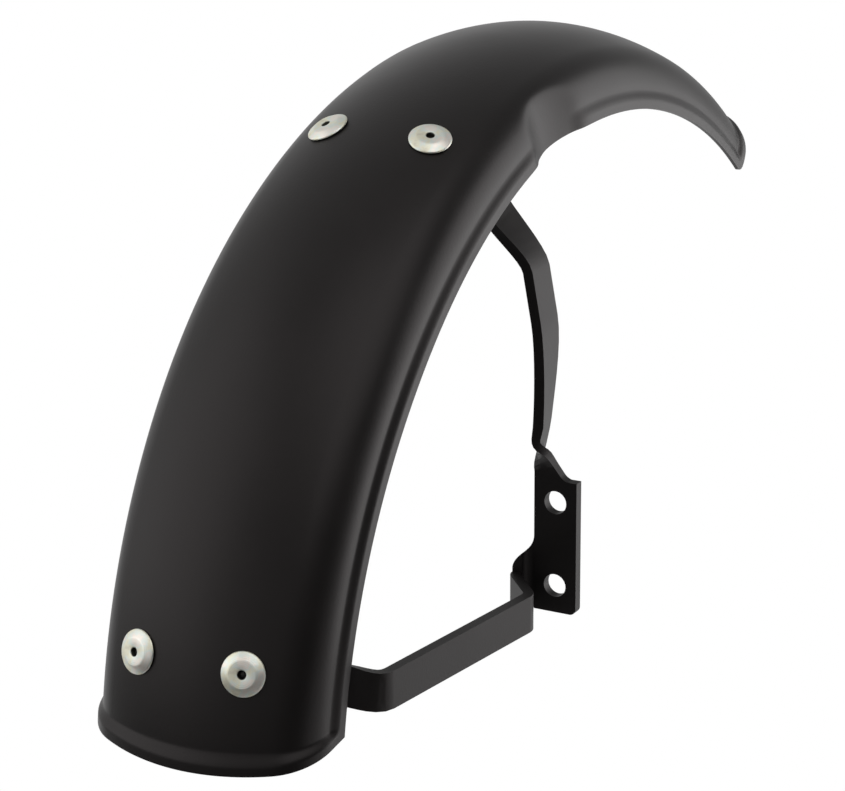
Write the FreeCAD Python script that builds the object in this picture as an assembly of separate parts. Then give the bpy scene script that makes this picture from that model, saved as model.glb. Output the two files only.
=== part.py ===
"""Scooter mudguard: a pressed steel guard carried by two formed flat-bar stays and four blind rivets.

Frame, in millimetres: +X points forward (towards the guard's tip), +Y left, +Z up. The origin is the
centre of the four bolt holes, on the front faces of the two stay plates. The guard is an arch about
the wheel's axle, and places on it are given by an angle from +X, a side offset Y and a height above
the rim's edge.
"""
import FreeCAD
import Part
import math
import os

from FreeCAD import Vector

# Wheel axle, seen from the bolt pattern
axle_ahead = 78.0
axle_below = 65.0

# Guard: arch and section, with a slight waist between the fork legs
sheet = 1.5
edge_radius = 210.0
guard_width = 94.6
guard_depth = 31.0
shoulder_radius = 20.0
wall_angle = 5.0
rear_angle = 174.3
tip_angle = 49.2
arch_step = 6.5
waist = 1.8
waist_angle = 97.0
waist_span = 45.0

# Guard: joggled rim, which runs along both sides and round both ends
rim_step = 1.6
rim_height = 3.2
joggle_height = 4.4
rear_lean = 20.0
rear_lean_run = 45.0
lean_stations = (0.33, 0.66, 1)

# Guard: recesses that clear the fork legs, deepest at recess_angle, with their tops on the shoulders
recess_angle = 101.2
recess_rear_span = 4.2
recess_front_span = 6.6
recess_depth = 3.7
recess_top_slope = 48.0
rim_fade = 0.6
recess_stations = (-1, -0.8, -0.5, 0, 0.4, 0.75, 1)

# Stays: flat bar and bolt plate
bar = 4.0
plate_width = 17.5
plate_height = 52.4
plate_drop = 1.0
plate_corner = 2.5
hole_spacing_y = 132.0
hole_spacing_z = 33.0
bolt_hole = 9.0
upper_leg_width = 14.0
neck_width = 12.0
lower_leg_width = 14.2
bend_steps = 8
shoulder_share = 0.8

# Stays: upper leg, outer-face places as (out from the mid-plane, up from the bolts), and the knee's
# depth under the top of the guard's edge
knee_out = 57.4
knee_drop = 33.5
upper_elbow = (64.0, 75.5)
upper_neck = (61.0, 42.0)
knee_run = 6.5
knee_pull = 6.0
elbow_run = 11.0
twist_bottom = 27.4
neck_twist = 14.0

# Stays: lower leg, middle-line places as (along X, out from the mid-plane), and how far the run ends
# ahead of the rear of the guard's edge
lower_leg_height = -19.6
return_bend = 5.4
lower_corner = (-25.0, 66.0)
lower_corner_bend = 6.0
lower_run_out = 55.3
lower_run_ahead = 20.0
lower_splay_pull = 9.0
web_fillet_height = 15.0
web_step = 0.2

# Rivets: large-flange blind rivets, in two pairs
rivet_out = 21.4
upper_rivet_angle = 113.8
lower_rivet_angle = 165.6
flange = 16.0
flange_flat = 10.0
flange_height = 2.2
flange_rim = 0.8
shank = 4.8
mandrel = 2.9
mandrel_depth = 1.6
bulb = 7.4
bulb_length = 4.5
tab_beyond_rivet = 9.0
upper_tab_shift = -2.0
lower_tab_shift = 3.0

# Clearances, and the distance under which two faces meet
seat_gap = 0.5
shank_gap = 0.1
mandrel_gap = 0.05
same_place = 0.01

# Worked out
axle = Vector(axle_ahead, 0, -axle_below)
across = Vector(0, 1, 0)
ahead = Vector(1, 0, 0)
up = Vector(0, 0, 1)
crown_from_axle = edge_radius + guard_depth
edge_top = edge_radius - axle_below
edge_rear = axle_ahead - edge_radius
wall_slope = math.radians(90 - wall_angle)
tab_offset = sheet + seat_gap + bar / 2
plate_middle = -bar / 2
plate_inner = (hole_spacing_y - plate_width) / 2
plate_outer = (hole_spacing_y + plate_width) / 2
rim_band = rim_height + joggle_height
wall_half = guard_width / 2 - rim_step
shoulder_middle_out = wall_half - rim_band / math.tan(wall_slope) - shoulder_radius * math.sin(wall_slope)
shoulder_middle_drop = guard_depth - rim_band + shoulder_radius * math.cos(wall_slope)
crown_radius = (shoulder_middle_out ** 2 + shoulder_middle_drop ** 2 - shoulder_radius ** 2) / (
    2 * (shoulder_middle_drop - shoulder_radius))
crown_turn = math.atan2(shoulder_middle_out, crown_radius - shoulder_middle_drop)
recess_slope = math.radians(recess_top_slope)


def radial(angle):
    a = math.radians(angle)
    return Vector(math.cos(a), 0, math.sin(a))


def rearward(angle):
    """Along the arch, towards the rear end."""
    a = math.radians(angle)
    return Vector(-math.sin(a), 0, math.cos(a))


def smooth(value):
    """Ease from 0 to 1."""
    v = min(max(value, 0.0), 1.0)
    return v * v * (3 - 2 * v)


def half_section(dent, lip, step, skin):
    """Named points (out, height) of one half of the section, for the skin's offset from the outside."""
    crown_centre = guard_depth - crown_radius
    shoulder_centre = (shoulder_middle_out, guard_depth - shoulder_middle_drop)
    wall_start = wall_slope + dent * (recess_slope - wall_slope)
    rim_out = max(step - lip, 0.0)
    offset = lip + skin

    def on_crown(slope):
        r = crown_radius + offset
        return (r * math.sin(slope), crown_centre + r * math.cos(slope))

    def on_shoulder(slope, extra=0.0):
        r = shoulder_radius + offset + extra
        return (shoulder_centre[0] + r * math.sin(slope), shoulder_centre[1] + r * math.cos(slope))

    def on_rim(height):
        start = on_shoulder(wall_slope, rim_out)
        run = (start[1] - height) / math.tan(wall_slope)
        return (start[0] + run - dent * (recess_depth - rim_step), height)

    return {
        "top": on_crown(0.0),
        "crown_end": on_crown(crown_turn),
        "shoulder_mid": on_shoulder((crown_turn + wall_start) / 2),
        "wall_top": on_shoulder(wall_start),
        "rim_top": on_rim(rim_height),
        "edge": on_rim(0.0),
    }


def station(angle, lean=0.0):
    """A function that puts a section point on the plane through the crown at this angle."""
    crown_point = radial(angle) * crown_from_axle
    inward = radial(angle + lean) * -1
    waisted = 1 - smooth(abs(angle - waist_angle) / waist_span)
    narrowing = 1 - waisted * waist / (guard_width / 2)

    def put(side, point):
        reach = edge_radius + point[1]
        along = crown_point.dot(inward)
        run = -along - math.sqrt(along ** 2 - crown_point.dot(crown_point) + reach ** 2)
        return axle + crown_point + inward * run + across * (side * point[0] * narrowing)

    return put


def line(a, b):
    return Part.LineSegment(a, b).toShape()


def arc(a, mid, b):
    return Part.Arc(a, mid, b).toShape()


def skin_edges(put, points):
    """Edges of one skin, from the right rim over the crown to the left rim."""
    edges = []
    right = {name: put(-1, p) for name, p in points.items()}
    left = {name: put(1, p) for name, p in points.items()}
    edges.append(line(right["edge"], right["rim_top"]))
    edges.append(line(right["rim_top"], right["wall_top"]))
    edges.append(arc(right["wall_top"], right["shoulder_mid"], right["crown_end"]))
    edges.append(arc(right["crown_end"], right["top"], left["crown_end"]))
    edges.append(arc(left["crown_end"], left["shoulder_mid"], left["wall_top"]))
    edges.append(line(left["wall_top"], left["rim_top"]))
    edges.append(line(left["rim_top"], left["edge"]))
    return edges


def guard_section(angle, lean=0.0, dent=0.0, lip=0.0, step=rim_step):
    """Closed wire of the sheet's section at one angle of the arch."""
    put = station(angle, lean)
    outside = half_section(dent, lip, step, 0.0)
    inside = half_section(dent, lip, step, -sheet)
    edges = skin_edges(put, outside)
    edges.append(line(put(1, outside["edge"]), put(1, inside["edge"])))
    edges.extend(reversed(skin_edges(put, inside)))
    edges.append(line(put(-1, inside["edge"]), put(-1, outside["edge"])))
    return Part.Wire(Part.__sortEdges__(edges))


def end_section(end_angle, inward_sign, distance, lean=0.0):
    """Section at a distance from an end, where the joggled rim turns the corner."""
    angle = end_angle + inward_sign * math.degrees(distance / crown_from_axle)
    lip = rim_step * (1 - min(max((distance - rim_height) / joggle_height, 0), 1))
    return guard_section(angle, lean=lean, lip=lip)


def recess_section(share):
    """Section through the fork recess, from -1 at its rear end to 1 at its front: the wall is pressed in
    as round as the tube that it clears, and the rim fades out."""
    span = recess_front_span if share > 0 else recess_rear_span
    dent = 1 - share ** 2
    step = rim_step * (1 - smooth(dent / rim_fade))
    return guard_section(recess_angle - share * span, dent=dent, step=step)


def plain_sections(from_angle, to_angle):
    """Sections of the plain arch between two angles, both left out."""
    steps = math.ceil((from_angle - to_angle) / arch_step)
    step = (from_angle - to_angle) / steps
    return [guard_section(from_angle - step * count) for count in range(1, steps)]


def make_guard():
    """Pressed guard, lofted through its sections from the rear end over the fork recess to the tip."""
    rear_join = rear_angle - math.degrees(rear_lean_run / crown_from_axle)
    tip_join = tip_angle + math.degrees(rim_band / crown_from_axle)

    lip_distances = [0, rim_height, rim_band]
    sections = []
    lean_distances = [rim_band + (rear_lean_run - rim_band) * share for share in lean_stations]
    for distance in lip_distances + lean_distances:
        lean = rear_lean * (1 - smooth(distance / rear_lean_run))
        sections.append(end_section(rear_angle, -1, distance, lean))
    sections += plain_sections(rear_join, recess_angle + recess_rear_span)
    for share in recess_stations:
        sections.append(recess_section(share))
    sections += plain_sections(recess_angle - recess_front_span, tip_join)
    for distance in reversed(lip_distances):
        sections.append(end_section(tip_angle, 1, distance))
    return Part.makeLoft(sections, True, True)


def rivet_seat(angle, side):
    """Foot point on the outside of the guard and outward axis of one rivet."""
    slope = math.asin(rivet_out / crown_radius)
    axis = radial(angle) * math.cos(slope) + across * (side * math.sin(slope))
    foot = axle + radial(angle) * (crown_from_axle - crown_radius) + axis * crown_radius
    return foot, axis


def along_axis(shape, foot, axis):
    """Stand a shape that was made on +Z on the foot point, along the axis."""
    placed = shape.copy()
    placed.Placement = FreeCAD.Placement(foot, FreeCAD.Rotation(up, axis))
    return placed


def turned(profile):
    """Solid of revolution about +Z from (radius, height) corners."""
    corners = [Vector(r, 0, z) for r, z in profile]
    wire = Part.makePolygon(corners + corners[:1])
    return Part.Face(wire).revolve(Vector(0, 0, 0), up, 360)


def rivet_places():
    return [(angle, side) for angle in (upper_rivet_angle, lower_rivet_angle) for side in (1, -1)]


def grip_below():
    """Depth of the stay tab's inner face under the guard's outside, at a rivet."""
    return tab_offset + bar / 2


def make_rivet():
    """Set blind rivet: coned flange, hollow shank, and the bulb that clamps the stay tab."""
    bore = mandrel / 2 + mandrel_gap
    seat = -(grip_below() + seat_gap)
    bulb_end = seat - bulb_length
    return turned([
        (bore, flange_height),
        (flange_flat / 2, flange_height),
        (flange / 2, flange_rim),
        (flange / 2, 0),
        (shank / 2, 0),
        (shank / 2, seat),
        (bulb / 2, seat),
        (bore, bulb_end),
    ])


def make_mandrel():
    """Broken-off mandrel that stays in the rivet, drawn up level with the end of the bulb."""
    bulb_end = -(grip_below() + seat_gap + bulb_length)
    length = flange_height - mandrel_depth - bulb_end
    return Part.makeCylinder(mandrel / 2, length, up * bulb_end, up)


def bar_section(centre, heading, width_along, width):
    """Rectangle of the bar, square to its heading, with its width along the given direction."""
    heading = Vector(heading).normalize()
    flat = width_along - heading * width_along.dot(heading)
    flat = flat.normalize()
    thick = heading.cross(flat)
    a = flat * (width / 2)
    b = thick * (bar / 2)
    return Part.makePolygon([centre + a + b, centre - a + b, centre - a - b, centre + a - b, centre + a + b])


def strip(path_edges, to_side, width):
    """Bar bent along a flat path: the path is thickened to both sides and drawn out by the bar's width."""
    path = Part.Wire(path_edges)
    outline = path.makeOffset2D(bar / 2, 2, False, True, False)
    other = path.makeOffset2D(-bar / 2, 2, False, True, False)
    first = outline.OrderedVertexes
    second = other.OrderedVertexes
    caps = [
        line(first[0].Point, second[0].Point),
        line(first[-1].Point, second[-1].Point),
    ]
    wire = Part.Wire(Part.__sortEdges__(outline.Edges + other.Edges + caps))
    face = Part.Face(wire)
    face.translate(to_side * (-width / 2))
    return face.extrude(to_side * width)


def bent_path(points, radii):
    """Straight runs between points, with a tangent arc at each inner point."""
    edges = []
    start = points[0]
    for corner, after, radius in zip(points[1:-1], points[2:], radii):
        before = (start - corner).normalize()
        beyond = (after - corner).normalize()
        half = before.getAngle(beyond) / 2
        setback = radius / math.tan(half)
        arc_start = corner + before * setback
        arc_end = corner + beyond * setback
        bisector = (before + beyond).normalize()
        arc_mid = corner + bisector * (radius / math.sin(half) - radius)
        edges.append(line(start, arc_start))
        edges.append(arc(arc_start, arc_mid, arc_end))
        start = arc_end
    edges.append(line(start, points[-1]))
    return edges


def bent_bar(start, finish, pull, width, end_width):
    """Bar led on a curve between two (place, heading, flat direction) ends, turning its flat on the way."""
    curve = Part.BezierCurve()
    curve.setPoles([start[0], start[0] + start[1] * pull, finish[0] - finish[1] * pull, finish[0]])
    sections = []
    for step in range(bend_steps + 1):
        share = step / bend_steps
        turned_share = smooth(share)
        flat = start[2] * (1 - turned_share) + finish[2] * turned_share
        width_here = width + (end_width - width) * turned_share
        sections.append(bar_section(curve.value(share), curve.tangent(share)[0], flat, width_here))
    return Part.makeLoft(sections, True, True)


def joined(bars):
    """One bar from lengths that meet end to end: the meeting faces are left out and the others sewn."""
    faces = [face for length in bars for face in length.Faces]

    def meets(face, other):
        apart = (face.CenterOfMass - other.CenterOfMass).Length
        return face is not other and apart < same_place and abs(face.Area - other.Area) < same_place

    outside = [face for face in faces if not any(meets(face, other) for other in faces)]
    shell = Part.makeShell(outside)
    shell.sewShape()
    return Part.makeSolid(Part.Shell(shell.Faces))


def tab_path(angle):
    """Middle line of the right stay inside the guard: under the crown, round the shoulder, down the wall."""
    put = station(angle)
    inside = half_section(0.0, 0.0, rim_step, -tab_offset)
    slope = math.asin(rivet_out / crown_radius) - tab_beyond_rivet / crown_radius
    crown_centre = guard_depth - crown_radius
    r = crown_radius - tab_offset
    middle_slope = (slope + crown_turn) / 2
    tab_end = (r * math.sin(slope), crown_centre + r * math.cos(slope))
    tab_mid = (r * math.sin(middle_slope), crown_centre + r * math.cos(middle_slope))
    top = inside["wall_top"]
    low = (top[0] + top[1] / math.tan(wall_slope), 0.0)
    edges = [
        arc(put(-1, tab_end), put(-1, tab_mid), put(-1, inside["crown_end"])),
        arc(put(-1, inside["crown_end"]), put(-1, inside["shoulder_mid"]), put(-1, top)),
        line(put(-1, top), put(-1, low)),
    ]
    heading = put(-1, low) - put(-1, top)
    return edges, put(-1, low), heading.normalize()


def make_upper_leg():
    """Upper leg of the right stay: tab, splayed knee, long run, elbow, and the twist down to the plate."""
    edges, foot, wall_heading = tab_path(upper_rivet_angle)
    tangent = rearward(upper_rivet_angle)
    shift = tangent * upper_tab_shift
    tab = strip(edges, tangent, upper_leg_width)
    tab.translate(shift)
    foot = foot + shift

    def middle(place):
        return Vector(plate_middle, -(place[0] - bar / 2), place[1])

    knee = middle((knee_out, edge_top - knee_drop))
    elbow = middle(upper_elbow)
    neck = middle(upper_neck)
    run = (elbow - knee).normalize()
    run_start = knee + run * knee_run
    run_end = elbow - run * elbow_run
    down = up * -1
    back = ahead * -1

    def twisted(angle):
        a = math.radians(angle)
        return Vector(-math.cos(a), -math.sin(a), 0)

    neck_heading = (neck - elbow).normalize()
    plate_top = Vector(plate_middle, -(plate_inner + neck_width / 2), twist_bottom)
    foot_end = (foot, wall_heading, tangent)
    neck_end = (neck, neck_heading, twisted(neck_twist))
    plate_end = (plate_top, down, twisted(90))
    twist_pull = (neck - plate_top).Length / 3
    knee_part = bent_bar(foot_end, (run_start, run, back), knee_pull, upper_leg_width, upper_leg_width)
    run_sections = [bar_section(place, run, back, upper_leg_width) for place in (run_start, run_end)]
    flat_part = Part.makeLoft(run_sections, True)
    elbow_part = bent_bar((run_end, run, back), neck_end, elbow_run, upper_leg_width, upper_leg_width)
    twist = bent_bar(neck_end, plate_end, twist_pull, upper_leg_width, neck_width)
    return joined([tab, knee_part, flat_part, elbow_part, twist])


def make_plate():
    """Bolt plate of the right stay, square to the riding direction, with its shoulder under the upper leg."""
    top = plate_height / 2 - plate_drop
    bottom = -plate_height / 2 - plate_drop
    leg_outer = plate_inner + neck_width
    left = -plate_inner
    right = -plate_outer
    neck = -leg_outer
    r = plate_corner
    f = shoulder_share * (twist_bottom - top)
    corner_in = r * (1 - math.sqrt(0.5))

    def at(y, z):
        return Vector(-bar, y, z)

    outline = [
        line(at(left, bottom), at(left, twist_bottom)),
        line(at(left, twist_bottom), at(neck, twist_bottom)),
        line(at(neck, twist_bottom), at(neck, top)),
        line(at(neck, top), at(right, top)),
        line(at(right, top), at(right, bottom + r)),
        arc(at(right, bottom + r), at(right + corner_in, bottom + corner_in), at(right + r, bottom)),
        line(at(right + r, bottom), at(left, bottom)),
    ]
    face = Part.Face(Part.Wire(outline))
    plate = face.extrude(ahead * bar)
    for z in (-hole_spacing_z / 2, hole_spacing_z / 2):
        hole = Part.makeCylinder(bolt_hole / 2, bar, at(-hole_spacing_y / 2, z), ahead)
        plate = plate.cut(hole)
    fillet = shoulder_web(neck, top, f)
    return plate.fuse(fillet)


def shoulder_web(neck, top, f):
    """Concave corner between the plate's top and the leg's outer edge."""
    diagonal = math.sqrt(0.5)

    def at(y, z):
        return Vector(-bar, y, z)

    centre = (neck - f, top + f)
    outline = [
        line(at(neck, top), at(neck - f, top)),
        arc(at(neck - f, top), at(centre[0] + f * diagonal, centre[1] - f * diagonal), at(neck, top + f)),
        line(at(neck, top + f), at(neck, top)),
    ]
    return Part.Face(Part.Wire(outline)).extrude(ahead * bar)


def make_lower_leg():
    """Lower leg of the right stay: return bend off the plate's inner edge, corner, run and riveted tab."""
    z = lower_leg_height
    centre = Vector(plate_middle - return_bend, -plate_inner, z)
    corner = Vector(lower_corner[0], -lower_corner[1], z)
    run_end = Vector(edge_rear + lower_run_ahead, -lower_run_out, z)
    to_corner = corner - centre
    turn = math.atan2(to_corner.y, to_corner.x) % (2 * math.pi) - math.acos(return_bend / to_corner.Length)

    def on_bend(angle):
        return centre + Vector(math.cos(angle), math.sin(angle), 0) * return_bend

    bend_start = on_bend(0)
    bend_end = on_bend(turn)
    bend = arc(bend_start, on_bend(turn / 2), bend_end)
    flat = [bend] + bent_path([bend_end, corner, run_end], [lower_corner_bend])
    flat_part = strip(flat, up, lower_leg_width)

    low = z - lower_leg_width / 2
    web_height = lower_leg_width + web_fillet_height
    inner_bend = return_bend - bar / 2
    outer_bend = return_bend + bar / 2
    web_foot = Vector(centre.x, centre.y, low)
    web = Part.makeCylinder(outer_bend, web_height, web_foot, up, 90)
    web = web.cut(Part.makeCylinder(inner_bend, web_height, web_foot, up))
    leg_top = web_foot + up * lower_leg_width - ahead * bar
    far = across * (outer_bend + web_step)
    rise = up * web_fillet_height
    sweep = Part.BezierCurve()
    sweep.setPoles([leg_top + rise, leg_top + rise / 2, leg_top + rise / 2 + far, leg_top + far])
    above = up * (web_fillet_height + web_step)
    scoop_outline = [
        sweep.toShape(),
        line(leg_top + far, leg_top + far + above),
        line(leg_top + far + above, leg_top + above),
        line(leg_top + above, leg_top + rise),
    ]
    scoop = Part.Face(Part.Wire(scoop_outline)).extrude(ahead * (outer_bend + 2 * bar))
    web = web.cut(scoop)

    edges, foot, wall_heading = tab_path(lower_rivet_angle)
    tangent = rearward(lower_rivet_angle)
    shift = tangent * lower_tab_shift
    tab = strip(edges, tangent, lower_leg_width)
    tab.translate(shift)
    foot = foot + shift
    run = (corner - run_end).normalize()
    down = up * -1
    foot_end = (foot, wall_heading, tangent)
    joint = bent_bar(foot_end, (run_end, run, down), lower_splay_pull, lower_leg_width, lower_leg_width)
    return [joined([flat_part, joint, tab]), web]


def make_right_stay():
    """One-piece right stay: plate with its upper and lower legs, holed for the rivets."""
    stay = make_plate().fuse([make_upper_leg()] + make_lower_leg())
    for angle in (upper_rivet_angle, lower_rivet_angle):
        stay = stay.cut(rivet_hole(angle, -1))
    return stay.removeSplitter()


def rivet_hole(angle, side):
    foot, axis = rivet_seat(angle, side)
    depth = grip_below() + bar
    return Part.makeCylinder(shank / 2 + shank_gap, 2 * depth, foot - axis * depth, axis)


os.makedirs("parts", exist_ok=True)

guard = make_guard()
for angle, side in rivet_places():
    guard = guard.cut(rivet_hole(angle, side))
guard.exportStep("parts/guard.step")

right_stay = make_right_stay()
right_stay.exportStep("parts/right_stay.step")

left_stay = right_stay.mirror(Vector(0, 0, 0), across)
left_stay.exportStep("parts/left_stay.step")

rivets = Part.makeCompound([along_axis(make_rivet(), *rivet_seat(a, s)) for a, s in rivet_places()])
rivets.exportStep("parts/rivets.step")

mandrels = Part.makeCompound([along_axis(make_mandrel(), *rivet_seat(a, s)) for a, s in rivet_places()])
mandrels.exportStep("parts/rivet_mandrels.step")
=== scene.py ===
import bmesh
import bpy
import math
from mathutils import Matrix, Vector


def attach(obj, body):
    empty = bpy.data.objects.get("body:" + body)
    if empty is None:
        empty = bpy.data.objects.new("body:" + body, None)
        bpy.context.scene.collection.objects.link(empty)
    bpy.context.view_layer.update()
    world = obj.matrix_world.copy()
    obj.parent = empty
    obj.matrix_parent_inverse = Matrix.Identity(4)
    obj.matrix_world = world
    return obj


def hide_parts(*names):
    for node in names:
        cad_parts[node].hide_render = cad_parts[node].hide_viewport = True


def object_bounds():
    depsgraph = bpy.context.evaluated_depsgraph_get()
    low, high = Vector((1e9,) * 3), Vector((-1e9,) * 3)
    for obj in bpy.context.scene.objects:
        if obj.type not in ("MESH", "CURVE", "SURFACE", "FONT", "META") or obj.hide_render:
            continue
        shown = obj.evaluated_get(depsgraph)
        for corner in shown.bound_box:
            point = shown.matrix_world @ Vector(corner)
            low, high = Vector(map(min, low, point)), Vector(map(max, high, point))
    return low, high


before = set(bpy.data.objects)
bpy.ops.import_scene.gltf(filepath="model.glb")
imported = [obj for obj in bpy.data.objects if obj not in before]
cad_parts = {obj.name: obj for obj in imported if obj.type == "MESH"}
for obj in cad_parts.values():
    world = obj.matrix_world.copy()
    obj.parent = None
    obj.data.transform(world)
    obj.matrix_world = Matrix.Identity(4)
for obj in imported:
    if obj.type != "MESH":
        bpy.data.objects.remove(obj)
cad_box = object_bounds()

# Guard: one shell of 1.5 mm sheet steel, pressed to an arch about the wheel's axle, painted satin black.
# Its rim is joggled outwards along both sides and round both ends, and on each side a recess is pressed in
# to clear the fork leg. The sheet is a grid of section points along the arch, thickened inwards.
axle = Vector((0.078, 0, -0.065))
edge_radius = 0.210
guard_depth = 0.031
guard_width = 0.0946
sheet = 0.0015
cut_edge_rounding = 0.00025
shoulder_radius = 0.020
wall_slope = math.radians(85)
waist = 0.0018
waist_angle = 97.0
waist_span = 45.0
rim_step = 0.0016
rim_height = 0.0032
joggle_height = 0.0044
rear_angle = 174.3
tip_angle = 49.5
rear_lean = 20.0
rear_lean_run = 0.045
tip_corner = 0.006
recess_angle = 101.2
recess_rear_span = 4.2
recess_front_span = 6.6
recess_depth = 0.0037
recess_slope = math.radians(78)
recess_softness = 0.0014
rim_fade = 0.6
crown_steps = 15
shoulder_steps = 15
wall_steps = 20
paint_dark = (0.0047, 0.0042, 0.0041, 1)
paint_light = (0.0064, 0.0057, 0.0055, 1)
paint_sheen = (1, 0.92, 0.92, 1)
gloss_spread = 0.03
guard_roughness = 0.4

rim_band = rim_height + joggle_height
crown_from_axle = edge_radius + guard_depth
wall_half = guard_width / 2 - rim_step
shoulder_out = wall_half - rim_band / math.tan(wall_slope) - shoulder_radius * math.sin(wall_slope)
shoulder_drop = guard_depth - rim_band + shoulder_radius * math.cos(wall_slope)
shoulder_reach = shoulder_out ** 2 + shoulder_drop ** 2
crown_radius = (shoulder_reach - shoulder_radius ** 2) / (2 * (shoulder_drop - shoulder_radius))
crown_turn = math.atan2(shoulder_out, crown_radius - shoulder_drop)


def smooth(value):
    """Ease from 0 to 1, level at both ends."""
    v = min(max(value, 0.0), 1.0)
    return v * v * (3 - 2 * v)


def radial(angle):
    """Direction out from the axle at an angle in degrees: 0 is straight ahead and 90 straight up."""
    return Vector((math.cos(math.radians(angle)), 0, math.sin(math.radians(angle))))


def half_section(lip, step, low):
    """Outside of the sheet from the crown's middle down to the rim's low edge, as (out, height) points."""
    points = []
    for count in range(crown_steps):
        slope = crown_turn * count / crown_steps
        r = crown_radius + lip
        height = guard_depth - crown_radius + r * math.cos(slope)
        points.append((r * math.sin(slope), height))
    for count in range(shoulder_steps):
        slope = crown_turn + (wall_slope - crown_turn) * count / shoulder_steps
        r = shoulder_radius + lip
        height = guard_depth - shoulder_drop + r * math.cos(slope)
        points.append((shoulder_out + r * math.sin(slope), height))
    wall_out = shoulder_out + (shoulder_radius + lip) * math.sin(wall_slope)
    for count in range(wall_steps + 1):
        height = rim_band + (low - rim_band) * count / wall_steps
        joggle = max(step - lip, 0) * smooth((rim_band - height) / joggle_height)
        points.append((wall_out + joggle + (rim_band - height) / math.tan(wall_slope), height))
    return points


def pressed(out, height, dent):
    """Side offset of a section point once the fork leg's recess is pressed in, with a soft border."""
    over = out - (guard_width / 2 - recess_depth * dent - height / math.tan(recess_slope))
    return out - (over + math.hypot(over, recess_softness)) / 2


def arch_row(angle):
    """One row of places across the guard, from the right rim over the crown to the left rim."""
    from_rear = math.radians(rear_angle - angle) * crown_from_axle
    from_tip = math.radians(angle - tip_angle) * crown_from_axle
    from_end = min(from_rear, from_tip)
    lip = rim_step * (1 - smooth((from_end - rim_height) / joggle_height))
    short = max(tip_corner - from_tip, 0)
    low = tip_corner - math.sqrt(tip_corner ** 2 - short ** 2)
    span = recess_rear_span if angle > recess_angle else recess_front_span
    dent = 1 - ((angle - recess_angle) / span) ** 2
    step = rim_step * (1 - smooth(dent / rim_fade))
    narrowing = 1 - (1 - smooth(abs(angle - waist_angle) / waist_span)) * waist / (guard_width / 2)
    lean = rear_lean * (1 - smooth(from_rear / rear_lean_run))
    crown_point = radial(angle) * crown_from_axle
    inward = -radial(angle + lean)
    along = crown_point.dot(inward)
    half = []
    for out, height in half_section(lip, step, low):
        run = -along - math.sqrt(along ** 2 - crown_point.length_squared + (edge_radius + height) ** 2)
        half.append((axle + crown_point + inward * run, pressed(out, height, dent) * narrowing))
    row = [place - Vector((0, out, 0)) for place, out in reversed(half)]
    return row + [place + Vector((0, out, 0)) for place, out in half[1:]]


# Rows lie closest together at both ends and over the recess, where the form changes fastest.
end_run = 0.012
end_turn = math.degrees(end_run / crown_from_axle)
rear_margin = 1.6
front_margin = 1.5
arch_stops = [
    rear_angle,
    rear_angle - end_turn,
    recess_angle + rear_margin * recess_rear_span,
    recess_angle - front_margin * recess_front_span,
    tip_angle + end_turn,
    tip_angle,
]
arch_steps = (24, 62, 60, 36, 24)
arch_angles = [rear_angle]
for start, stop, steps in zip(arch_stops, arch_stops[1:], arch_steps):
    arch_angles += [start + (stop - start) * count / steps for count in range(1, steps + 1)]
rows = [arch_row(angle) for angle in arch_angles]
across = len(rows[0])
guard_places = [place for row in rows for place in row]
guard_faces = [(r * across + c, (r + 1) * across + c, (r + 1) * across + c + 1, r * across + c + 1)
               for r in range(len(rows) - 1) for c in range(across - 1)]
guard_mesh = bpy.data.meshes.new("guard_shell")
guard_mesh.from_pydata(guard_places, [], guard_faces)
guard_mesh.shade_smooth()
guard_shell = bpy.data.objects.new("guard_shell", guard_mesh)
bpy.context.collection.objects.link(guard_shell)
thickness = guard_shell.modifiers.new("sheet thickness", "SOLIDIFY")
thickness.thickness = sheet
thickness.offset = -1
rounding = guard_shell.modifiers.new("rounded cut edges", "BEVEL")
rounding.width = cut_edge_rounding
rounding.segments = 2
rounding.limit_method = "ANGLE"
rounding.angle_limit = math.radians(50)


def black_paint(name, roughness):
    """Satin black paint: fine orange peel, slight mottling of colour and gloss."""
    material = bpy.data.materials.new(name)
    material.use_nodes = True
    nodes, links = material.node_tree.nodes, material.node_tree.links
    shader = nodes["Principled BSDF"]
    shader.inputs["Specular IOR Level"].default_value = 0.25
    shader.inputs["Specular Tint"].default_value = paint_sheen
    place = nodes.new("ShaderNodeTexCoord")
    mottle = nodes.new("ShaderNodeTexNoise")
    mottle.inputs["Scale"].default_value = 38
    mottle.inputs["Detail"].default_value = 4
    colour = nodes.new("ShaderNodeValToRGB")
    colour.color_ramp.elements[0].position = 0.3
    colour.color_ramp.elements[0].color = paint_dark
    colour.color_ramp.elements[1].position = 0.7
    colour.color_ramp.elements[1].color = paint_light
    gloss = nodes.new("ShaderNodeMapRange")
    gloss.inputs["To Min"].default_value = roughness - gloss_spread
    gloss.inputs["To Max"].default_value = roughness + gloss_spread
    peel = nodes.new("ShaderNodeTexNoise")
    peel.inputs["Scale"].default_value = 950
    peel.inputs["Detail"].default_value = 2
    bump = nodes.new("ShaderNodeBump")
    bump.inputs["Strength"].default_value = 0.12
    bump.inputs["Distance"].default_value = 0.0002
    links.new(place.outputs["Object"], mottle.inputs["Vector"])
    links.new(place.outputs["Object"], peel.inputs["Vector"])
    links.new(mottle.outputs["Fac"], colour.inputs["Fac"])
    links.new(mottle.outputs["Fac"], gloss.inputs["Value"])
    links.new(colour.outputs["Color"], shader.inputs["Base Color"])
    links.new(gloss.outputs["Result"], shader.inputs["Roughness"])
    links.new(peel.outputs["Fac"], bump.inputs["Height"])
    links.new(bump.outputs["Normal"], shader.inputs["Normal"])
    return material


guard_mesh.materials.append(black_paint("guard_paint", guard_roughness))
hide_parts("guard")
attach(guard_shell, "root")

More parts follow.
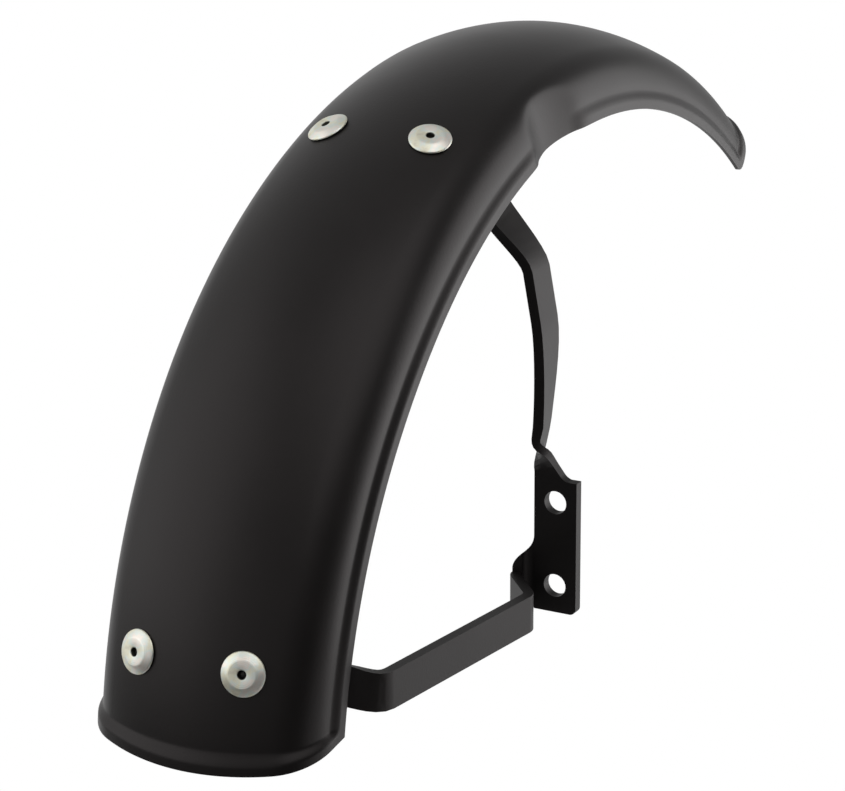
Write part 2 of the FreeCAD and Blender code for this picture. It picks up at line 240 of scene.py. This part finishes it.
# Stays: two mirrored pieces of 4 mm flat bar, each bent, twisted and holed in one length, painted black.
# Their tabs lie under the guard at the rivets and their plates bolt to the fork. The shapes are the CAD's,
# cleared of tiny edges, with the neck between the twist and the plate drawn in.
neck_low = 0.0255
neck_high = 0.044
neck_squeeze = 0.4
plate_inner = 0.05725
same_place = 0.000001
tiny_edge = 0.00002
flat_turn = math.radians(0.05)
bar_crease = math.radians(32)
stay_roughness = 0.5
stay_paint = black_paint("stay_paint", stay_roughness)
for node in ("right_stay", "left_stay"):
    bar = bmesh.new()
    bar.from_mesh(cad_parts[node].data)
    bmesh.ops.remove_doubles(bar, verts=bar.verts, dist=same_place)
    bmesh.ops.dissolve_degenerate(bar, dist=tiny_edge, edges=bar.edges)
    bmesh.ops.dissolve_limit(bar, angle_limit=flat_turn, verts=bar.verts, edges=bar.edges)
    for corner in bar.verts:
        side = math.copysign(1, corner.co.y)
        beyond = abs(corner.co.y) - plate_inner
        up_neck = (corner.co.z - neck_low) / (neck_high - neck_low)
        if 0 < up_neck < 1 and beyond > 0:
            width_left = 1 - neck_squeeze * math.sin(math.pi * up_neck)
            corner.co.y = side * (plate_inner + beyond * width_left)
    bar.verts.index_update()
    bar_places = [tuple(corner.co) for corner in bar.verts]
    bar_faces = [[corner.index for corner in face.verts] for face in bar.faces]
    bar.free()
    bar_mesh = bpy.data.meshes.new(node + "_bar")
    bar_mesh.from_pydata(bar_places, [], bar_faces)
    bar_mesh.materials.append(stay_paint)
    bar_mesh.shade_smooth()
    bar_mesh.set_sharp_from_angle(angle=bar_crease)
    stay = bpy.data.objects.new(node + "_bar", bar_mesh)
    bpy.context.collection.objects.link(stay)
    flat_faces = stay.modifiers.new("flat faces", "WEIGHTED_NORMAL")
    flat_faces.keep_sharp = True
    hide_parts(node)
    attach(stay, "root")

# Rivets: large-flange blind rivets, zinc plated, that clamp the stay tabs under the guard. Each is turned:
# a flat face with a coned ring and a thin rounded rim, a hollow shank, and the bulb formed under the tab.
rivet_out = 0.0214
rivet_angles = (113.8, 165.6)
flange_radius = 0.008
flange_height = 0.0022
flange_foot_radius = flange_radius * 0.97
flange_edge_height = 0.0003
flange_rim_radius = flange_radius * 0.985
flange_rim_height = 0.0007
cone_foot_radius = flange_radius * 0.95
cone_foot = 0.0009
cone_radius = 0.0054
cone_top = 0.0020
face_turn_radius = 0.0050
face_turn_height = 0.00216
face_radius = 0.0046
mouth_radius = 0.0021
mouth_turn_radius = 0.0017
mouth_turn_height = 0.0021
mouth_foot = 0.0018
bore_radius = 0.0015
shank_radius = 0.0024
bulb_radius = 0.0037
grip = 0.0065
bulb_length = 0.0045
tail_end = -grip - bulb_length
rivet_segments = 72
turned_crease = math.radians(38)
rivet_profile = [
    (bore_radius, tail_end),
    (bulb_radius * 0.8, -grip - bulb_length * 0.8),
    (bulb_radius, -grip - bulb_length * 0.4),
    (bulb_radius, -grip),
    (shank_radius, -grip),
    (shank_radius, 0),
    (flange_foot_radius, 0),
    (flange_radius, flange_edge_height),
    (flange_rim_radius, flange_rim_height),
    (cone_foot_radius, cone_foot),
    (cone_radius, cone_top),
    (face_turn_radius, face_turn_height),
    (face_radius, flange_height),
    (mouth_radius, flange_height),
    (mouth_turn_radius, mouth_turn_height),
    (bore_radius, mouth_foot),
    (bore_radius, tail_end),
]


def turned(name, profile, segments):
    """Ring mesh turned about Z from (radius, height) corners."""
    places = []
    for count in range(segments):
        turn = 2 * math.pi * count / segments
        places += [(r * math.cos(turn), r * math.sin(turn), z) for r, z in profile]
    size = len(profile)
    faces = []
    for count in range(segments):
        here, there = count * size, (count + 1) % segments * size
        faces += [(here + k, there + k, there + k + 1, here + k + 1) for k in range(size - 1)]
    mesh = bpy.data.meshes.new(name)
    mesh.from_pydata(places, [], faces)
    shape = bmesh.new()
    shape.from_mesh(mesh)
    bmesh.ops.remove_doubles(shape, verts=shape.verts, dist=same_place)
    bmesh.ops.recalc_face_normals(shape, faces=shape.faces)
    shape.to_mesh(mesh)
    shape.free()
    mesh.shade_smooth()
    mesh.set_sharp_from_angle(angle=turned_crease)
    return mesh


zinc_dark = (0.62, 0.59, 0.50, 1)
zinc_light = (0.78, 0.77, 0.73, 1)
zinc_hues = [
    (0.42, (0.76, 0.74, 0.60, 1)),
    (0.52, (0.70, 0.75, 0.71, 1)),
    (0.62, (0.80, 0.74, 0.67, 1)),
]
# Within 1.8 mm of the rivet's axis the zinc is painted darker, down to 8 % of its colour at the bore:
# painted shade inside the hole.
painted_shade_radius = 0.0018
painted_shade_level = 0.08
zinc = bpy.data.materials.new("rivet_zinc")
zinc.use_nodes = True
nodes, links = zinc.node_tree.nodes, zinc.node_tree.links
shader = nodes["Principled BSDF"]
shader.inputs["Metallic"].default_value = 1
place = nodes.new("ShaderNodeTexCoord")
stain = nodes.new("ShaderNodeTexNoise")
stain.inputs["Scale"].default_value = 240
stain.inputs["Detail"].default_value = 7
tint = nodes.new("ShaderNodeValToRGB")
tint.color_ramp.elements[0].position = 0.28
tint.color_ramp.elements[0].color = zinc_dark
tint.color_ramp.elements[1].position = 0.72
tint.color_ramp.elements[1].color = zinc_light
for position, hue in zinc_hues:
    tint.color_ramp.elements.new(position).color = hue
dull = nodes.new("ShaderNodeMapRange")
dull.inputs["To Min"].default_value = 0.58
dull.inputs["To Max"].default_value = 0.42
turning_marks = nodes.new("ShaderNodeTexWave")
turning_marks.wave_type = "RINGS"
turning_marks.rings_direction = "Z"
turning_marks.inputs["Scale"].default_value = 500
turning_marks.inputs["Distortion"].default_value = 1.5
uneven = nodes.new("ShaderNodeMath")
uneven.operation = "MULTIPLY_ADD"
uneven.inputs[1].default_value = 0.35
grain = nodes.new("ShaderNodeBump")
grain.inputs["Strength"].default_value = 0.5
grain.inputs["Distance"].default_value = 0.0001
flat = nodes.new("ShaderNodeVectorMath")
flat.operation = "MULTIPLY"
flat.inputs[1].default_value = (1, 1, 0)
from_axis = nodes.new("ShaderNodeVectorMath")
from_axis.operation = "LENGTH"
# Painted shade: the zinc's colour is scaled down towards the bore of the hole.
bore_painted_shade = nodes.new("ShaderNodeMapRange")
bore_painted_shade.inputs["From Min"].default_value = bore_radius
bore_painted_shade.inputs["From Max"].default_value = painted_shade_radius
bore_painted_shade.inputs["To Min"].default_value = painted_shade_level
tint_with_painted_shade = nodes.new("ShaderNodeVectorMath")
tint_with_painted_shade.operation = "SCALE"
links.new(place.outputs["Object"], stain.inputs["Vector"])
links.new(place.outputs["Object"], turning_marks.inputs["Vector"])
links.new(place.outputs["Object"], flat.inputs[0])
links.new(flat.outputs["Vector"], from_axis.inputs[0])
links.new(from_axis.outputs["Value"], bore_painted_shade.inputs["Value"])
links.new(stain.outputs["Fac"], tint.inputs["Fac"])
links.new(stain.outputs["Fac"], dull.inputs["Value"])
links.new(turning_marks.outputs["Fac"], uneven.inputs[0])
links.new(stain.outputs["Fac"], uneven.inputs[2])
links.new(uneven.outputs["Value"], grain.inputs["Height"])
links.new(tint.outputs["Color"], tint_with_painted_shade.inputs[0])
links.new(bore_painted_shade.outputs["Result"], tint_with_painted_shade.inputs["Scale"])
links.new(tint_with_painted_shade.outputs["Vector"], shader.inputs["Base Color"])
links.new(dull.outputs["Result"], shader.inputs["Roughness"])
links.new(grain.outputs["Normal"], shader.inputs["Normal"])

rivet_mesh = turned("rivet", rivet_profile, rivet_segments)
rivet_mesh.materials.append(zinc)
rivet_slope = math.asin(rivet_out / crown_radius)
rivet_seats = []
for angle in rivet_angles:
    for side in (1, -1):
        axis = radial(angle) * math.cos(rivet_slope) + Vector((0, side * math.sin(rivet_slope), 0))
        foot = axle + radial(angle) * (crown_from_axle - crown_radius) + axis * crown_radius
        rivet_seats.append(Matrix.Translation(foot) @ axis.to_track_quat("Z", "Y").to_matrix().to_4x4())
for count, seat in enumerate(rivet_seats):
    rivet = bpy.data.objects.new("rivet_%d" % (count + 1), rivet_mesh)
    rivet.matrix_world = seat
    bpy.context.collection.objects.link(rivet)
    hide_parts("rivets")
    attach(rivet, "root")

# Mandrels: the steel pin that set each rivet, broken off inside it. The rough break shows at the bottom of
# the flange's hole, and its other end is drawn up level with the end of the bulb.
pin_radius = 0.00145
break_height = 0.0006
break_tip = 0.0003
break_crown = 0.0002
break_fall = 0.0001
break_edge = 0.0004
mandrel_segments = 48
# The pin's steel is painted near black, far darker than bare steel: painted shade deep in the rivet's
# hole.
steel_painted_shade_dark = (0.02, 0.018, 0.016, 1)
steel_painted_shade_light = (0.09, 0.085, 0.08, 1)
mandrel_profile = [
    (0, break_height + break_tip),
    (pin_radius * 0.45, break_height + break_crown),
    (pin_radius * 0.8, break_height - break_fall),
    (pin_radius, break_height - break_edge),
    (pin_radius, tail_end),
    (0, tail_end),
]
bare_steel = bpy.data.materials.new("mandrel_steel")
bare_steel.use_nodes = True
nodes, links = bare_steel.node_tree.nodes, bare_steel.node_tree.links
shader = nodes["Principled BSDF"]
shader.inputs["Metallic"].default_value = 1
shader.inputs["Roughness"].default_value = 0.55
place = nodes.new("ShaderNodeTexCoord")
crystal = nodes.new("ShaderNodeTexNoise")
crystal.inputs["Scale"].default_value = 1800
shade = nodes.new("ShaderNodeValToRGB")
shade.color_ramp.elements[0].color = steel_painted_shade_dark
shade.color_ramp.elements[1].color = steel_painted_shade_light
torn = nodes.new("ShaderNodeBump")
torn.inputs["Strength"].default_value = 0.6
torn.inputs["Distance"].default_value = 0.0002
links.new(place.outputs["Object"], crystal.inputs["Vector"])
links.new(crystal.outputs["Fac"], shade.inputs["Fac"])
links.new(crystal.outputs["Fac"], torn.inputs["Height"])
links.new(shade.outputs["Color"], shader.inputs["Base Color"])
links.new(torn.outputs["Normal"], shader.inputs["Normal"])
mandrel_mesh = turned("mandrel", mandrel_profile, mandrel_segments)
mandrel_mesh.materials.append(bare_steel)
for count, seat in enumerate(rivet_seats):
    mandrel = bpy.data.objects.new("mandrel_%d" % (count + 1), mandrel_mesh)
    mandrel.matrix_world = seat
    bpy.context.collection.objects.link(mandrel)
    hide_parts("rivet_mandrels")
    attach(mandrel, "root")

# Floor: one flat sheet of pale matt paper, well under the part. To the camera and in reflections it is
# plain white, so that it runs into the backdrop without an edge.
floor_drop = 0.6
floor_size = 8.0
floor_ahead = 3.5
paper_colour = (0.8, 0.8, 0.8, 1)
half = floor_size / 2
floor_corners = [(-half, -half, 0), (half, -half, 0), (half, half, 0), (-half, half, 0)]
floor_mesh = bpy.data.meshes.new("floor")
floor_mesh.from_pydata(floor_corners, [], [(0, 1, 2, 3)])
floor = bpy.data.objects.new("floor", floor_mesh)
floor.location = (floor_ahead, 0, cad_box[0].z - floor_drop)
bpy.context.collection.objects.link(floor)
paper = bpy.data.materials.new("floor_paper")
paper.use_nodes = True
nodes, links = paper.node_tree.nodes, paper.node_tree.links
shader = nodes["Principled BSDF"]
shader.inputs["Base Color"].default_value = paper_colour
shader.inputs["Roughness"].default_value = 0.9
white = nodes.new("ShaderNodeEmission")
seen = nodes.new("ShaderNodeLightPath")
shows = nodes.new("ShaderNodeMath")
shows.operation = "MAXIMUM"
choice = nodes.new("ShaderNodeMixShader")
links.new(seen.outputs["Is Camera Ray"], shows.inputs[0])
links.new(seen.outputs["Is Glossy Ray"], shows.inputs[1])
links.new(shows.outputs["Value"], choice.inputs["Fac"])
links.new(shader.outputs["BSDF"], choice.inputs[1])
links.new(white.outputs["Emission"], choice.inputs[2])
links.new(choice.outputs["Shader"], nodes["Material Output"].inputs["Surface"])
floor_mesh.materials.append(paper)

# Backdrop: white to the camera. To the part it is a pale wall on the left that fades to a dim room on the
# right and to dark below, so that the black paint keeps its depth.
below_shade = (0.03, 0.03, 0.03, 1)
horizon_shade = (1, 1, 1, 1)
overhead_shade = (0.6, 0.6, 0.6, 1)
world = bpy.data.worlds.new("studio")
bpy.context.scene.world = world
world.use_nodes = True
nodes, links = world.node_tree.nodes, world.node_tree.links
nodes.clear()
direction = nodes.new("ShaderNodeTexCoord")
split = nodes.new("ShaderNodeSeparateXYZ")
sweep = nodes.new("ShaderNodeMapRange")
sweep.inputs["From Min"].default_value = -0.95
sweep.inputs["From Max"].default_value = 0.6
sweep.inputs["To Min"].default_value = 0.03
sweep.inputs["To Max"].default_value = 1.4
upright = nodes.new("ShaderNodeMapRange")
upright.inputs["From Min"].default_value = -1
height_shade = nodes.new("ShaderNodeValToRGB")
height_shade.color_ramp.elements[0].position = 0.38
height_shade.color_ramp.elements[0].color = below_shade
height_shade.color_ramp.elements[1].position = 0.75
height_shade.color_ramp.elements[1].color = overhead_shade
height_shade.color_ramp.elements.new(0.5).color = horizon_shade
level = nodes.new("ShaderNodeMath")
level.operation = "MULTIPLY"
room = nodes.new("ShaderNodeBackground")
backdrop = nodes.new("ShaderNodeBackground")
backdrop.inputs["Color"].default_value = (1, 1, 1, 1)
seen = nodes.new("ShaderNodeLightPath")
choice = nodes.new("ShaderNodeMixShader")
surround = nodes.new("ShaderNodeOutputWorld")
links.new(direction.outputs["Generated"], split.inputs["Vector"])
links.new(split.outputs["Y"], sweep.inputs["Value"])
links.new(split.outputs["Z"], upright.inputs["Value"])
links.new(upright.outputs["Result"], height_shade.inputs["Fac"])
links.new(sweep.outputs["Result"], level.inputs[0])
links.new(height_shade.outputs["Color"], level.inputs[1])
links.new(level.outputs["Value"], room.inputs["Strength"])
links.new(seen.outputs["Is Camera Ray"], choice.inputs["Fac"])
links.new(room.outputs["Background"], choice.inputs[1])
links.new(backdrop.outputs["Background"], choice.inputs[2])
links.new(choice.outputs["Shader"], surround.inputs["Surface"])

# Lights: three large soft boxes, one low ahead on the right, one behind on the left and one high up behind
# on the right. Each faces the middle of the part.
light_aim = Vector((0, 0, 0.06))
for name, place, size, watts in (
    ("right_softbox", (1.12, -1.05, 0.08), 1.3, 14),
    ("left_softbox", (-1.0, 1.1, 0.75), 1.6, 7),
    ("overhead_softbox", (-0.46, -0.78, 1.26), 1.6, 11),
):
    lamp = bpy.data.lights.new(name, "AREA")
    lamp.size = size
    lamp.energy = watts
    box = bpy.data.objects.new(name, lamp)
    box.location = place
    box.rotation_euler = (light_aim - box.location).to_track_quat("-Z", "Y").to_euler()
    bpy.context.collection.objects.link(box)

# Camera: a long lens behind the part on the right and a little above it, as in the photograph.
# Its place, heading and lens were fitted to the part's outline.
camera_place = (-0.92725, -0.51641, 0.38150)
heading = math.radians(28.697)
look_down = math.radians(17.327)
roll = math.radians(-0.345)
camera = bpy.data.cameras.new("camera")
camera.lens = 124.35
camera.shift_x = -0.0032
camera.shift_y = -0.0081
viewpoint = bpy.data.objects.new("camera", camera)
facing = Matrix.Rotation(heading - math.pi / 2, 4, "Z") @ Matrix.Rotation(math.pi / 2 - look_down, 4, "X")
viewpoint.matrix_world = Matrix.Translation(camera_place) @ facing @ Matrix.Rotation(roll, 4, "Z")
bpy.context.collection.objects.link(viewpoint)
bpy.context.scene.camera = viewpoint
bpy.context.scene.view_settings.view_transform = "Standard"
